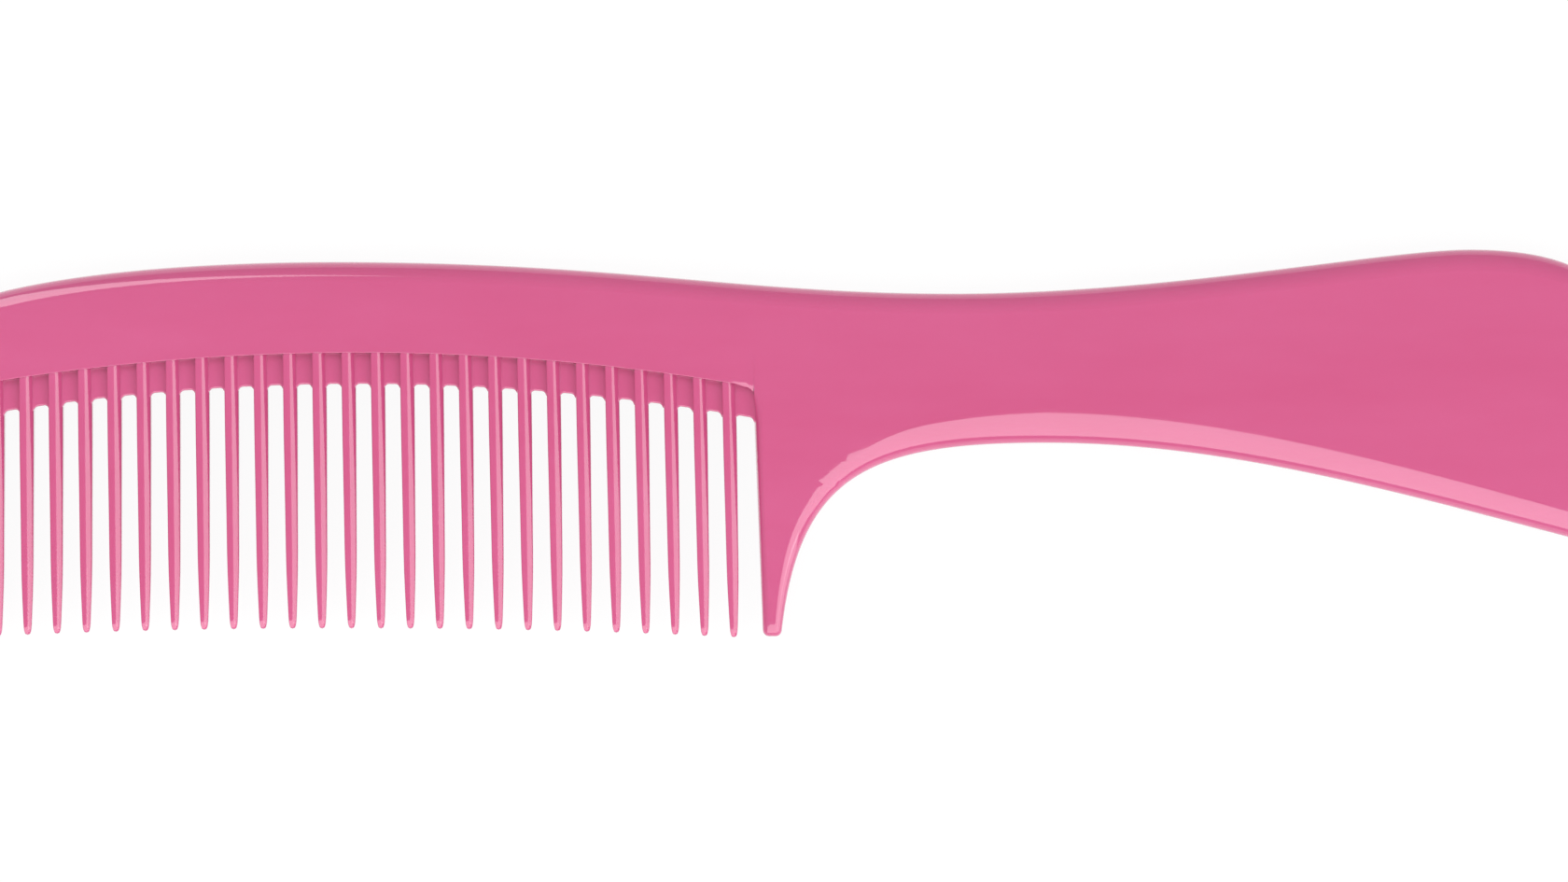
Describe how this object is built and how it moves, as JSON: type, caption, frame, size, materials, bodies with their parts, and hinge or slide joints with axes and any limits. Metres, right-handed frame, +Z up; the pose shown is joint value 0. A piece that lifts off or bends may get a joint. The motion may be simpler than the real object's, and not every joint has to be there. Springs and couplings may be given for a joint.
{
  "type": "wide tooth comb",
  "caption": "Wide tooth hair comb in one glossy plastic moulding: arched spine with free tapered teeth, a wide guard tooth at each end, and a flared handle.",
  "frame": {"origin": "middle of the comb's bounding box in X and Y, on the lower face that it lies on", "axes": "+X along the comb towards the handle, +Y from the tips of the teeth towards the spine, +Z up through the thickness as the comb lies flat"},
  "size_m": [0.22, 0.0486, 0.0052],
  "materials": {
    "comb_plastic": "glossy pink injection-moulded plastic"
  },
  "bodies": {
    "root": {"spine": "comb_plastic", "handle": "comb_plastic", "end_tooth": "comb_plastic", "guard_tooth": "comb_plastic", "tooth_01": "comb_plastic", "tooth_02": "comb_plastic", "tooth_03": "comb_plastic", "tooth_04": "comb_plastic", "tooth_05": "comb_plastic", "tooth_06": "comb_plastic", "tooth_07": "comb_plastic", "tooth_08": "comb_plastic", "tooth_09": "comb_plastic", "tooth_10": "comb_plastic", "tooth_11": "comb_plastic", "tooth_12": "comb_plastic", "tooth_13": "comb_plastic", "tooth_14": "comb_plastic", "tooth_15": "comb_plastic", "tooth_16": "comb_plastic", "tooth_17": "comb_plastic", "tooth_18": "comb_plastic", "tooth_19": "comb_plastic", "tooth_20": "comb_plastic", "tooth_21": "comb_plastic", "tooth_22": "comb_plastic", "tooth_23": "comb_plastic", "tooth_24": "comb_plastic", "tooth_25": "comb_plastic", "tooth_26": "comb_plastic", "tooth_27": "comb_plastic"}
  },
  "joints": []
}
